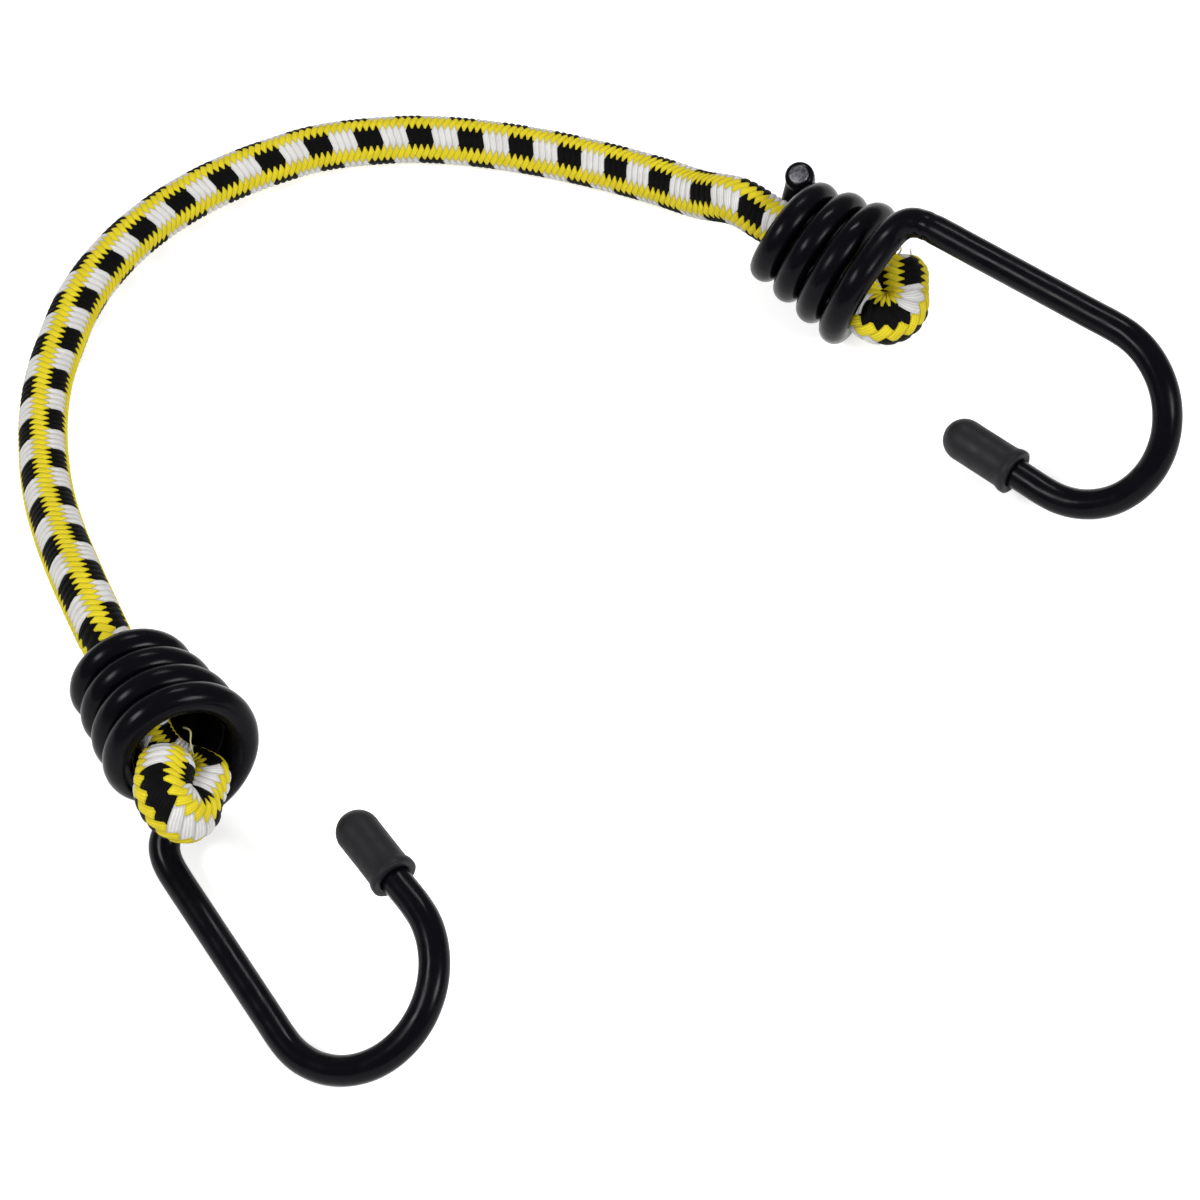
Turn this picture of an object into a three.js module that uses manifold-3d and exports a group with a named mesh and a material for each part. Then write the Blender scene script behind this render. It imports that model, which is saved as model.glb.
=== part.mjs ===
// Bungee cord: a braided elastic cord with a spiral wire hook wound onto each folded end.
// Millimetres, +Z up. The cord lies in an arch on the floor, with both hooks pointing the same way.
import * as THREE from 'three';
import { mergeVertices } from 'three/addons/utils/BufferGeometryUtils.js';
import Module from 'manifold-3d';

// Elastic cord
const CORD_DIAMETER = 8.2;
const SHEATH_WALL = 0.9;
const CORE_GAP = 0.3;
const JOINT_GAP = 0.3;
const CORD_SIDES = 12;
const CORE_SIDES = 8;
const SPAN_STEPS = 56;

// Hook wire: steel inside a plastic coat
const STEEL_DIAMETER = 3.4;
const COAT_GAP = 0.2;
const COAT_WALL = 0.6;
const WIRE_SIDES = 6;
const WIRE_STEPS = 124;

// Spiral that grips the cord, narrow where the cord goes in and wide at the hook
const COIL_TURNS = 3.81;
const TURN_GAP = 0.68;
const NECK_CLEARANCE = 0.5;
const FLARE_PER_TURN = 0.86;
const COIL_END_ANGLE = 236;
const COIL_END_REACH = 2.8;
const COIL_TILT = 12;
const COIL_TILT_TOWARDS = 257;
const CUT_END_LIFT = 1.8;
const CUT_END_TURNS = 0.15;
const TURN_POINTS = 24;

// Shank, bow and tip of the hook
const SHANK_STANDOFF = 4;
const SHANK_DROP = 6.9;
const SHANK_SPLAY = -2;
const SHANK_START = 13;
const SHANK_LENGTH = 48.4;
const BEND_HANDLE = 5.5;
const BOW_RADIUS = 15.2;
const BOW_CLOSING = 3.7;
const LEG_LENGTH = 16;

// Soft cap pushed over the tip
const CAP_LENGTH = 14.1;
const CAP_WALL = 0.8;
const CAP_GAP = 0.3;
const CAP_LIP = 0.35;
const CAP_LIP_LENGTH = 1.2;
const CAP_SEGMENTS = 14;

// Folded cord end that sticks out of the spiral's mouth
const FOLD_START = 6;
const FOLD_EYE = 0.75;
const FOLD_SQUEEZE = 0.85;
const FOLD_SWELL = 0.35;
const FOLD_SHIFT_START = -11;
const LIMB_OFFSET = 3.1;
const TAIL_END = 1.3;
const FOLD_STEPS = 30;
const NECK_INSET = 2;

// How the two hooks lie: mouth of the spiral on the floor plan, heading, pitch and lean. Then the fold of
// the cord end: how far its eye stands out of the mouth, how the fold is turned and how far it droops.
const REST_FLAT = 0.3;
const FLOOR_MARGIN = 40;
const HOOKS = {
  left: {
    mouth: [-67.1, -39.8], heading: -57.8, pitch: -0.5, lean: 36.3,
    foldReach: 9.6, foldTurn: -80, droop: [-6.4, 2.4],
  },
  right: {
    mouth: [42.8, 58.6], heading: -38.3, pitch: 0.8, lean: 232.5,
    foldReach: 5.9, foldTurn: -13, droop: [1.5, 0],
  },
};
const ENTRY_STRAIGHT = 6;

// Route of the cord over the floor from the left hook to the right one, chosen by hand
const ROUTE = [
  [-82.4, -10.1, 15.6], [-84.8, -2.6, 13.0], [-87.2, 5.5, 10.2], [-89.6, 15.4, 7.4],
  [-90.9, 24.1, 5.6], [-91.5, 33.4, 4.6], [-91.0, 41.9, 4.2], [-89.2, 50.2, 4.2],
  [-86.8, 58.2, 4.2], [-82.9, 65.9, 4.2], [-77.6, 73.1, 4.2], [-71.1, 79.4, 4.2],
  [-63.7, 84.6, 4.2], [-55.9, 88.6, 4.2], [-47.6, 91.8, 4.2], [-38.9, 93.3, 4.2],
  [-30.2, 93.8, 4.2], [-20.3, 92.9, 4.2], [-9.1, 90.6, 4.3], [1.7, 86.9, 5.0],
  [10.4, 82.6, 6.4], [16.8, 78.4, 8.2],
];

const CORD_RADIUS = CORD_DIAMETER / 2;
const STEEL_RADIUS = STEEL_DIAMETER / 2;
const COAT_BORE = STEEL_RADIUS + COAT_GAP;
const COAT_RADIUS = COAT_BORE + COAT_WALL;
const PITCH = 2 * COAT_RADIUS + TURN_GAP;
const NECK_RADIUS = CORD_RADIUS + NECK_CLEARANCE + COAT_RADIUS;
const MOUTH_RADIUS = NECK_RADIUS + FLARE_PER_TURN * COIL_TURNS;
const COIL_START = COIL_END_REACH - PITCH * COIL_TURNS;
const FOLD_JOIN = COIL_START + FOLD_START;
const rad = THREE.MathUtils.degToRad;

const sheathLook = new THREE.MeshStandardMaterial({ color: 0xe8d21c, roughness: 0.75, metalness: 0 });
const rubberLook = new THREE.MeshStandardMaterial({ color: 0xcdb48c, roughness: 0.8, metalness: 0 });
const steelLook = new THREE.MeshStandardMaterial({ color: 0xb4b4b8, roughness: 0.35, metalness: 1 });
const coatLook = new THREE.MeshStandardMaterial({ color: 0x14141a, roughness: 0.3, metalness: 0 });
const capLook = new THREE.MeshStandardMaterial({ color: 0x1e1e22, roughness: 0.7, metalness: 0 });

// A ring of points for a tube's section
function ring(radius, sides) {
  const points = [];
  for (let i = 0; i < sides; i += 1) {
    const angle = (2 * Math.PI * i) / sides;
    points.push(new THREE.Vector2(radius * Math.cos(angle), radius * Math.sin(angle)));
  }
  return points;
}

// A tube of one section along a curve, with a bore where one is given
function tube(curve, steps, sides, radius, bore = 0) {
  const section = new THREE.Shape(ring(radius, sides));
  if (bore > 0) {
    section.holes.push(new THREE.Path(ring(bore, sides)));
  }
  return new THREE.ExtrudeGeometry(section, { steps, extrudePath: curve, bevelEnabled: false });
}

// A tube whose radius changes along its centre points: the fold swells where it leaves the spiral
function swollenTube(curve, steps, sides, radiusAt, boreAt = null) {
  const frames = curve.computeFrenetFrames(steps, false);
  const centres = curve.getSpacedPoints(steps);
  const positions = [];
  const index = [];
  const walls = boreAt ? [radiusAt, boreAt] : [radiusAt];
  walls.forEach((sizeAt) => {
    centres.forEach((centre, row) => {
      ring(sizeAt(centre, row / steps), sides).forEach((point) => {
        const spot = centre.clone();
        spot.addScaledVector(frames.normals[row], point.x);
        spot.addScaledVector(frames.binormals[row], point.y);
        positions.push(spot.x, spot.y, spot.z);
      });
    });
  });
  const wallSize = (steps + 1) * sides;
  const quad = (a, b, c, d) => index.push(a, b, c, a, c, d);
  for (let side = 0; side < sides; side += 1) {
    const next = (side + 1) % sides;
    for (let row = 0; row < steps; row += 1) {
      const here = row * sides;
      const ahead = here + sides;
      quad(here + side, here + next, ahead + next, ahead + side);
      if (boreAt) {
        quad(wallSize + here + side, wallSize + ahead + side, wallSize + ahead + next, wallSize + here + next);
      }
    }
    const last = steps * sides;
    if (boreAt) {
      quad(side, wallSize + side, wallSize + next, next);
      quad(last + side, last + next, wallSize + last + next, wallSize + last + side);
    } else if (side > 0 && next > 0) {
      index.push(0, next, side);
      index.push(last, last + side, last + next);
    }
  }
  const geometry = new THREE.BufferGeometry();
  geometry.setAttribute('position', new THREE.Float32BufferAttribute(positions, 3));
  geometry.setIndex(index);
  return geometry;
}

// Hook frame: x along the spiral towards the hook, y from the shank towards the tip, z square to both.
function coilPoint(angle, radius, along) {
  return new THREE.Vector3(along, radius * Math.cos(angle), radius * Math.sin(angle));
}

// Left-hand spiral from the cut end to the point where the wire turns into the shank. Its turns lean
// over, and the cut end is sprung a little way off the first turn.
function coilPoints() {
  const points = [];
  const count = Math.round(COIL_TURNS * TURN_POINTS);
  for (let i = 0; i <= count; i += 1) {
    const left = COIL_TURNS * (1 - i / count);
    const angle = rad(COIL_END_ANGLE) + 2 * Math.PI * left;
    const sprung = THREE.MathUtils.smoothstep(left, COIL_TURNS - CUT_END_TURNS, COIL_TURNS);
    const radius = MOUTH_RADIUS - FLARE_PER_TURN * left + CUT_END_LIFT * sprung;
    const lean = radius * Math.cos(angle - rad(COIL_TILT_TOWARDS)) * Math.tan(rad(COIL_TILT));
    points.push(coilPoint(angle, radius, COIL_END_REACH - PITCH * left + lean));
  }
  return points;
}

// The shank's foot and the directions of the plane that the hook is bent in
function hookPlane() {
  const foot = new THREE.Vector3(0, -(MOUTH_RADIUS + SHANK_STANDOFF), -SHANK_DROP);
  const square = new THREE.Vector3(0, 0, 1);
  const along = new THREE.Vector3(1, 0, 0).applyAxisAngle(square, rad(SHANK_SPLAY));
  const across = new THREE.Vector3(0, 1, 0).applyAxisAngle(square, rad(SHANK_SPLAY));
  return { foot, along, across };
}

const plane = hookPlane();

// A point of the hook's own plane
function hookPoint(along, across) {
  return plane.foot.clone().addScaledVector(plane.along, along).addScaledVector(plane.across, across);
}

// Centre line of the whole wire: spiral, bend, shank, bow and tip
function wireCurve() {
  const points = coilPoints();
  const end = points[points.length - 1];
  const leaving = end.clone().sub(points[points.length - 2]).normalize();
  const shankStart = hookPoint(SHANK_START, 0);
  const bend = new THREE.CubicBezierCurve3(
    end,
    end.clone().addScaledVector(leaving, BEND_HANDLE),
    shankStart.clone().addScaledVector(plane.along, -BEND_HANDLE),
    shankStart,
  );
  points.push(...bend.getPoints(8).slice(1));
  const shankSpacing = 6;
  for (let along = SHANK_START + shankSpacing; along < SHANK_LENGTH - 1; along += shankSpacing) {
    points.push(hookPoint(along, 0));
  }
  const bowSteps = 16;
  const sweep = Math.PI + rad(BOW_CLOSING);
  for (let i = 0; i <= bowSteps; i += 1) {
    const angle = (sweep * i) / bowSteps;
    points.push(hookPoint(SHANK_LENGTH + BOW_RADIUS * Math.sin(angle), BOW_RADIUS * (1 - Math.cos(angle))));
  }
  const bowEnd = [SHANK_LENGTH + BOW_RADIUS * Math.sin(sweep), BOW_RADIUS * (1 - Math.cos(sweep))];
  const legSteps = 4;
  for (let i = 1; i <= legSteps; i += 1) {
    const run = (LEG_LENGTH * i) / legSteps;
    points.push(hookPoint(bowEnd[0] + run * Math.cos(sweep), bowEnd[1] + run * Math.sin(sweep)));
  }
  return new THREE.CatmullRomCurve3(points, false, 'centripetal');
}

const wire = wireCurve();
const wireTip = wire.getPointAt(1);
const tipDirection = wire.getTangentAt(1);

// Cap: a blind sleeve with a round end and a thicker lip, turned about the tip's own line
function capGeometry() {
  const bore = COAT_RADIUS + CAP_GAP;
  const outer = bore + CAP_WALL;
  const boreEnd = CAP_GAP;
  const top = boreEnd + outer;
  const mouth = top - CAP_LENGTH;
  const profile = [
    new THREE.Vector2(0, boreEnd),
    new THREE.Vector2(bore, boreEnd),
    new THREE.Vector2(bore, mouth),
    new THREE.Vector2(outer + CAP_LIP, mouth),
    new THREE.Vector2(outer + CAP_LIP, mouth + CAP_LIP_LENGTH),
    new THREE.Vector2(outer, mouth + 2 * CAP_LIP_LENGTH),
  ];
  const domeSteps = 5;
  for (let i = 0; i < domeSteps; i += 1) {
    const angle = (Math.PI / 2) * (i / domeSteps);
    profile.push(new THREE.Vector2(outer * Math.cos(angle), boreEnd + outer * Math.sin(angle)));
  }
  profile.push(new THREE.Vector2(0, top));
  const geometry = new THREE.LatheGeometry(profile, CAP_SEGMENTS);
  const turn = new THREE.Quaternion().setFromUnitVectors(new THREE.Vector3(0, 1, 0), tipDirection);
  geometry.applyQuaternion(turn);
  geometry.translate(wireTip.x, wireTip.y, wireTip.z);
  return geometry;
}

// Centre line of the folded end: through the spiral, round the eye and back to the cut tail
function foldCurve(lay) {
  const foldRadius = CORD_RADIUS - FOLD_SWELL + FOLD_EYE;
  const angle = rad(lay.foldTurn);
  const at = (along, off) => {
    const sunk = THREE.MathUtils.smoothstep(along, COAT_RADIUS, lay.foldReach + foldRadius);
    const across = off * Math.cos(angle) + lay.droop[0] * sunk;
    return new THREE.Vector3(along, across, off * Math.sin(angle) + lay.droop[1] * sunk);
  };
  const points = [at(FOLD_JOIN, 0), at((FOLD_JOIN + FOLD_SHIFT_START) / 2, 0)];
  const shiftSteps = 4;
  for (let i = 0; i <= shiftSteps; i += 1) {
    const share = i / shiftSteps;
    const eased = share * share * (3 - 2 * share);
    points.push(at(FOLD_SHIFT_START * (1 - share), LIMB_OFFSET * eased));
  }
  const bowSteps = 12;
  for (let i = 0; i <= bowSteps; i += 1) {
    const turn = (Math.PI * i) / bowSteps;
    points.push(at(lay.foldReach + foldRadius * Math.sin(turn), foldRadius * Math.cos(turn)));
  }
  points.push(at(TAIL_END, -foldRadius));
  return new THREE.CatmullRomCurve3(points, false, 'centripetal');
}

// Cord radius along the fold: squeezed inside the spiral, nearly full outside it
function foldRadiusAt(centre, share) {
  const inside = CORD_RADIUS - FOLD_SQUEEZE;
  const outside = CORD_RADIUS - FOLD_SWELL;
  const freed = share > 0.5 ? 1 : THREE.MathUtils.smoothstep(centre.x, 0, 2 * COAT_RADIUS);
  return inside + (outside - inside) * freed;
}

// Least gap between two stretches of a tube that are more than half a turn apart along it
function leastGap(curve, radius, samples) {
  const points = curve.getSpacedPoints(samples);
  const spacing = curve.getLength() / samples;
  const skip = Math.ceil((Math.PI * NECK_RADIUS) / spacing);
  let least = Infinity;
  for (let i = 0; i < points.length; i += 1) {
    for (let j = i + skip; j < points.length; j += 1) {
      least = Math.min(least, points[i].distanceTo(points[j]));
    }
  }
  return least - 2 * radius;
}

console.log(`least gap of the hook wire to itself: ${leastGap(wire, COAT_RADIUS, 900).toFixed(2)} mm`);

const wasm = await Module();
wasm.setup();

// A closed geometry as a solid for cutting
function solid(geometry) {
  const bare = geometry.clone();
  bare.deleteAttribute('normal');
  bare.deleteAttribute('uv');
  const merged = mergeVertices(bare, 1e-4);
  const vertProperties = new Float32Array(merged.attributes.position.array);
  const triVerts = new Uint32Array(merged.index.array);
  return new wasm.Manifold(new wasm.Mesh({ numProp: 3, vertProperties, triVerts }));
}

// A cut solid back as a geometry
function geometryOf(body) {
  const mesh = body.getMesh();
  const geometry = new THREE.BufferGeometry();
  geometry.setAttribute('position', new THREE.Float32BufferAttribute(mesh.vertProperties, 3));
  geometry.setIndex(new THREE.Uint32BufferAttribute(mesh.triVerts, 1));
  return geometry;
}

// A named mesh with its own material
function piece(name, geometry, look) {
  const mesh = new THREE.Mesh(geometry, look.clone());
  mesh.name = name;
  return mesh;
}

// Flattens what a hook rests on, where it would sink below the floor
function restOnFloor(hook, pieces) {
  hook.updateMatrixWorld(true);
  const box = new THREE.Box3();
  pieces.forEach((mesh) => box.expandByObject(mesh, true));
  hook.position.z -= box.min.z + REST_FLAT;
  hook.updateMatrixWorld(true);
  const reach = box.getSize(new THREE.Vector3());
  const floor = new THREE.BoxGeometry(reach.x + FLOOR_MARGIN, reach.y + FLOOR_MARGIN, FLOOR_MARGIN);
  const middle = box.getCenter(new THREE.Vector3());
  floor.translate(middle.x, middle.y, -FLOOR_MARGIN / 2);
  floor.applyMatrix4(hook.matrixWorld.clone().invert());
  const below = solid(floor);
  pieces.forEach((mesh) => {
    mesh.geometry = geometryOf(solid(mesh.geometry).subtract(below));
  });
}

// One hook with the folded cord end that it grips
function hookGroup(side, lay) {
  const group = new THREE.Group();
  const heading = rad(lay.heading);
  const axis = new THREE.Vector3(Math.cos(heading), Math.sin(heading), Math.tan(rad(lay.pitch))).normalize();
  const level = new THREE.Vector3(-axis.y, axis.x, 0).normalize();
  const across = level.applyAxisAngle(axis, rad(lay.lean));
  const square = new THREE.Vector3().crossVectors(axis, across);
  group.quaternion.setFromRotationMatrix(new THREE.Matrix4().makeBasis(axis, across, square));
  group.position.set(lay.mouth[0], lay.mouth[1], 0);

  const coat = tube(wire, WIRE_STEPS, WIRE_SIDES, COAT_RADIUS, COAT_BORE);
  const coating = piece(`${side}_hook_coating`, coat, coatLook);
  const cap = piece(`${side}_tip_cap`, capGeometry(), capLook);
  const steel = piece(`${side}_hook_wire`, tube(wire, WIRE_STEPS, WIRE_SIDES, STEEL_RADIUS), steelLook);
  const fold = foldCurve(lay);
  const bore = (centre, share) => foldRadiusAt(centre, share) - SHEATH_WALL;
  const core = (centre, share) => bore(centre, share) - 2 * CORE_GAP;
  const sheathForm = swollenTube(fold, FOLD_STEPS, CORD_SIDES, foldRadiusAt, bore);
  const coreForm = swollenTube(fold, FOLD_STEPS, CORE_SIDES, core);
  group.add(coating, cap, steel);
  group.add(piece(`${side}_end_sheath`, sheathForm, sheathLook));
  group.add(piece(`${side}_end_core`, coreForm, rubberLook));
  restOnFloor(group, [coating, cap]);
  return group;
}

// A point on a spiral's own axis, on the floor plan's frame
function onAxis(hook, along) {
  return hook.localToWorld(new THREE.Vector3(along, 0, 0));
}

const left = hookGroup('left', HOOKS.left);
const right = hookGroup('right', HOOKS.right);

// The cord between the hooks, which ends inside both spirals
const neckStart = COIL_START + NECK_INSET;
const spanPoints = [
  onAxis(left, FOLD_JOIN - JOINT_GAP),
  onAxis(left, COIL_START),
  onAxis(left, COIL_START - ENTRY_STRAIGHT),
  ...ROUTE.map((point) => new THREE.Vector3(...point)),
  onAxis(right, COIL_START - ENTRY_STRAIGHT),
  onAxis(right, COIL_START),
  onAxis(right, neckStart - JOINT_GAP),
];
const span = new THREE.CatmullRomCurve3(spanPoints, false, 'centripetal');
const neck = new THREE.LineCurve3(onAxis(right, neckStart), onAxis(right, FOLD_JOIN - JOINT_GAP));
const sheathBore = CORD_RADIUS - SHEATH_WALL;
const coreRadius = sheathBore - CORE_GAP;
console.log(`length of the cord between the hooks: ${span.getLength().toFixed(1)} mm`);

const bungee = new THREE.Group();
bungee.name = 'bungee_cord';
bungee.add(left, right);
const hooksBox = new THREE.Box3().setFromObject(bungee, true);
bungee.add(piece('span_sheath', tube(span, SPAN_STEPS, CORD_SIDES, CORD_RADIUS, sheathBore), sheathLook));
bungee.add(piece('span_core', tube(span, SPAN_STEPS, CORE_SIDES, coreRadius), rubberLook));
bungee.add(piece('right_neck_sheath', tube(neck, 1, CORD_SIDES, CORD_RADIUS, sheathBore), sheathLook));
bungee.add(piece('right_neck_core', tube(neck, 1, CORE_SIDES, coreRadius), rubberLook));

// Origin on the floor, under the middle of the two hooks
const middle = hooksBox.getCenter(new THREE.Vector3());
bungee.position.set(-middle.x, -middle.y, 0);
bungee.updateMatrixWorld(true);

export default bungee;
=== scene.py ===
"""Bungee cord: a braided elastic cord with a spiral wire hook wound onto each folded end."""

import math

import bpy
import numpy as np
from bpy.props import FloatProperty, FloatVectorProperty, IntProperty, PointerProperty
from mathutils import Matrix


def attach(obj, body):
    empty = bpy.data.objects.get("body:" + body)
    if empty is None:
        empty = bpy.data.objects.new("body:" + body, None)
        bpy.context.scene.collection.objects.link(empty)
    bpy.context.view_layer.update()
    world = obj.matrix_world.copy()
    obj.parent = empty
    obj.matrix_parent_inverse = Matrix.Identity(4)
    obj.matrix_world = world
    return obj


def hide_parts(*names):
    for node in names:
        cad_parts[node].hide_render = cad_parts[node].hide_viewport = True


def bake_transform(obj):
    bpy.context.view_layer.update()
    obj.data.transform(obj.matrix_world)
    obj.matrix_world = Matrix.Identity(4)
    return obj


bl_info = {
    "name": "Bungee cord",
    "version": (1, 0, 0),
    "blender": (4, 5, 0),
    "location": "View3D > Sidebar > Bungee",
    "description": "Builds a braided bungee cord with two spiral wire hooks",
    "category": "Object",
}

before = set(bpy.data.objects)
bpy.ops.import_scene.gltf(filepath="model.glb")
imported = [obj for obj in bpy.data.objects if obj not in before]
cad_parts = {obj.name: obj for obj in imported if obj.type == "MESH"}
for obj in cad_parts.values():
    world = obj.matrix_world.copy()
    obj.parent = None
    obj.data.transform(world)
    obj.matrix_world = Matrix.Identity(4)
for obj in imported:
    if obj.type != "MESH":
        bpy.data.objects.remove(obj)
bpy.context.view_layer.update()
MM = 0.001

# The two hooks, in millimetres and degrees
#   mouth, heading, pitch, lean: the middle of the spiral's mouth, the line of the spiral towards the hook,
#     and the way from the shank to the tip
#   limb, bow_*, tail_end: the middle line of the folded cord end and its girth, in the hook's own frame
#   braid_*: the turn of the fold's braid, and the row of the pattern that it starts with
#   coil_*, cut_end_lift: turns of the spiral, its reach past the mouth, its pitch, how much wider each
#     turn is than the one before, and how far its cut end stands out
#   entry: where the cord comes into the spiral, along its line
#   nicks: places along the wire where the coat is nicked, and how deep
#   threads: loose yarns of the cut tail, in the hook's own frame
HOOKS = {
    "left": {
        "mouth": (-70.4858, -31.2984, 17.4058), "heading": -57.8, "pitch": -0.5, "lean": 36.3,
        "limb": (
            (-7.0, -1.6, -0.8), (-2.5, -3.0, -1.8), (1.5, -2.6, -3.0), (5.0, -0.6, -4.0), (7.6, 0.0, -3.5),
        ),
        "bow_centre": (9.5, -3.9, 2.4), "bow_apex": (0.85, -0.44, 0.30), "bow_turn": -85.0,
        "bow_radius": 3.3, "bow_girth": 4.7, "tail_end": (3.4, -0.6, 3.2),
        "braid_turn": 0.108, "braid_row": 32,
        "coil_turns": 4.1, "coil_reach": 4.4, "coil_pitch": 4.95, "coil_flare": 0.83, "cut_end_lift": 0.0,
        "entry": (-17.2,), "nicks": (),
        "threads": (((1.2, 3.1, 2.0), (2.6, 3.7, 2.0), (4.2, 2.6, 2.0), (5.8, 1.6, 1.4)),),
    },
    "right": {
        "mouth": (39.4142, 67.1016, 11.9033), "heading": -38.3, "pitch": 0.8, "lean": 232.5,
        "limb": ((-5.0, 0.1, -0.1), (0.0, 0.5, -0.8)),
        "bow_centre": (6.7, 1.7, -1.0), "bow_apex": (0.75, 0.55, -0.37), "bow_turn": -54.0,
        "bow_radius": 3.0, "bow_girth": 4.6, "tail_end": (5.0, -5.4, 2.4),
        "braid_turn": 0.045, "braid_row": 32,
        "coil_turns": 3.81, "coil_reach": 2.8, "coil_pitch": 5.4, "coil_flare": 0.99, "cut_end_lift": 2.3,
        "entry": (-18.84, -24.84), "nicks": ((220.4, 0.06), (222.2, 0.11)),
        "threads": (
            ((5.2, -4.8, 0.4), (4.6, -6.2, 0.2), (5.2, -7.4, -0.4)),
            ((6.6, -4.8, 1.0), (6.4, -6.4, 0.6), (7.4, -7.2, 0.8)),
            ((6.0, -4.6, 2.4), (6.8, -6.2, 1.8), (6.2, -7.6, 1.6)),
            ((4.2, -4.8, 1.6), (4.8, -6.6, 1.4), (4.0, -7.4, 1.8)),
        ),
    },
}

# Route of the cord over the floor, in millimetres, and the move from its plan to the part's frame
ROUTE_SHIFT = (-3.386, 8.502, 0.0)
ROUTE = [
    (-82.4, -10.1, 15.6), (-84.8, -2.6, 13.0), (-87.2, 5.5, 10.2), (-89.6, 15.4, 7.4),
    (-90.9, 24.1, 5.6), (-91.5, 33.4, 4.6), (-91.0, 41.9, 4.2), (-89.2, 50.2, 4.2),
    (-86.8, 58.2, 4.2), (-82.9, 65.9, 4.2), (-77.6, 73.1, 4.2), (-71.1, 79.4, 4.2),
    (-63.7, 84.6, 4.2), (-55.9, 88.6, 4.2), (-47.6, 91.8, 4.2), (-38.9, 93.3, 4.2),
    (-30.2, 93.8, 4.2), (-20.3, 92.9, 4.2), (-9.1, 90.6, 4.3), (1.7, 86.9, 5.0),
    (10.4, 82.6, 6.4), (16.8, 78.4, 8.2),
]

# Spiral and hook, in millimetres and degrees: the wire leaves the spiral at its end angle, bends out to the
# shank, and goes on through the bow to the leg with the tip
MOUTH_RADIUS = 10.4
COIL_END_ANGLE = 236.0
COIL_TILT = 12.0
COIL_TILT_TOWARDS = 257.0
CUT_END_TURNS = 0.15
SHANK_STANDOFF = 4.6
SHANK_DROP = 6.9
SHANK_SPLAY = -2.0
SHANK_LENGTH = 48.4
BEND_REACH = 10.0
BEND_LEAVES = 8.0
BEND_ARRIVES = 6.0
BOW_RADIUS = 15.2
BOW_CLOSING = 3.7
LEG_LENGTH = 16.0
NICK_WIDTH = 0.6
CORD_ENTRY = -18.84

# Sheared end of the wire: how far the steel's rings stand out, in millimetres, with their share of the
# steel's radius, and how much the coat's first ring is wider than the steel and its second narrower than
# the coat
STEEL_END = ((0.32, 0.15), (0.30, 0.80), (0.22, 0.98), (0.0, 1.0), (-1.0, 1.0))
COAT_LIP = 0.25
COAT_EASE = 0.08

# Tip cap, in millimetres: its wall, its play on the coat, the room over the wire's tip, the rings of its
# bore and of its rim, counted from the bore or the outer radius and from the mouth, its draft, and the
# shares of its straight length that have a ring
CAP_WALL = 1.1
CAP_PLAY = 0.05
CAP_ROOM = 0.3
CAP_BORE = ((0.0, 1.5), (0.0, 0.25), (0.2, 0.0))
CAP_RIM = ((0.15, 0.0), (0.33, 0.15), (0.35, 0.5), (0.33, 1.0), (0.15, 1.5), (0.0, 2.0))
CAP_DRAFT = 0.02
CAP_BODY = (0.4, 0.7, 0.9)
CAP_DOME_STEPS = 9
CAP_SIDES = 40

# Any way across the tip, which the cap's sides are counted from
CAP_ASIDE = (0.3, 0.2, 0.9)

# Fold of the cord end, in millimetres: where it joins the cord, where the cord's own sleeve ends, where the
# limb leaves the middle, how far the spiral squeezes it, where it swells before and past the start of its
# bow, how its cut tail is rounded, and how its braid stretches out of the mouth
FOLD_JOIN = CORD_ENTRY + 6.0
CORD_END = FOLD_JOIN - 0.3
FOLD_SHIFT_START = -11.0
FOLD_SQUEEZE = 0.85
FOLD_FREED = 8.0
FOLD_FULL = 2.0
TAIL_ROUND = 3.0
TAIL_TAPER = 0.4
FOLD_STRETCH = 0.1
FOLD_STRETCH_FROM = 3.0
FOLD_STRETCH_TO = 7.0

# Rubber core: what the cover takes off the radius, in millimetres, the strands and how deep the grooves
# between them are, in the cord and in the folds, and how far the core stands out of a cut tail
CORD_COVER = 1.2
FOLD_COVER = 1.15
CORE_SIDES = 24
CORE_STRANDS = 12
CORD_GROOVE = 0.06
FOLD_GROOVE = 0.10
CORE_OUT = 0.25

# Loose yarns: sides, and the share of their thickness that is left at the tip
THREAD_SIDES = 8
THREAD_TIP = 0.5

# Fineness: steps in a turn, a bend or a bow, points of a smooth line from one given point to the next,
# spacings in millimetres, and every which point of a fold has a ring of its core
COIL_STEPS = 24
BEND_STEPS = 8
BOW_STEPS = 16
FOLD_BOW_STEPS = 8
WIRE_FINENESS = 12
CORD_FINENESS = 16
SHANK_STEP = 6.0
WIRE_STEP = 0.5
CORD_STEP = 0.8
CORE_STEP = 2.0
FOLD_STEP = 0.25
FOLD_CORE_EVERY = 4
THREAD_STEP = 0.3

# Braid: strands each way round the cord, steps of the mesh across one strand, how far the checks
# spread at the cost of the yellow and from which share of a repeat, how much of a yarn's pointed end its
# neighbours hide, how round a yarn's back and its ends are, and how far neighbouring yarns are shifted
# so that their filaments differ
STRANDS = 8
STEPS = 4
CHECK_SPREAD = 0.01
CHECK_SPREAD_FROM = 0.875
TOOTH_TRIM = 0.3
YARN_BACK = (2.2, 0.55)
YARN_ENDS = (2.6, 0.6)
YARN_SHIFTS = (7, 5)

# Row of the braid's pattern that the cord starts with
BRAID_FIRST_ROW = 16

# Stretch of the braid and its turn round the cord, at lengths along it in millimetres
BRAID_STRETCH = (
    (0, 1.8), (7, 1.8), (12, 1.13), (20, 1.16), (28, 1.28), (40, 1.28), (48, 1.18), (58, 1.1), (75, 1.03),
    (200, 1.0), (222, 1.12),
)
BRAID_TURN = ((0, 0.085), (40, 0.093), (78, 0.087), (117, 0.067), (156, 0.07), (237, 0.09))

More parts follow.
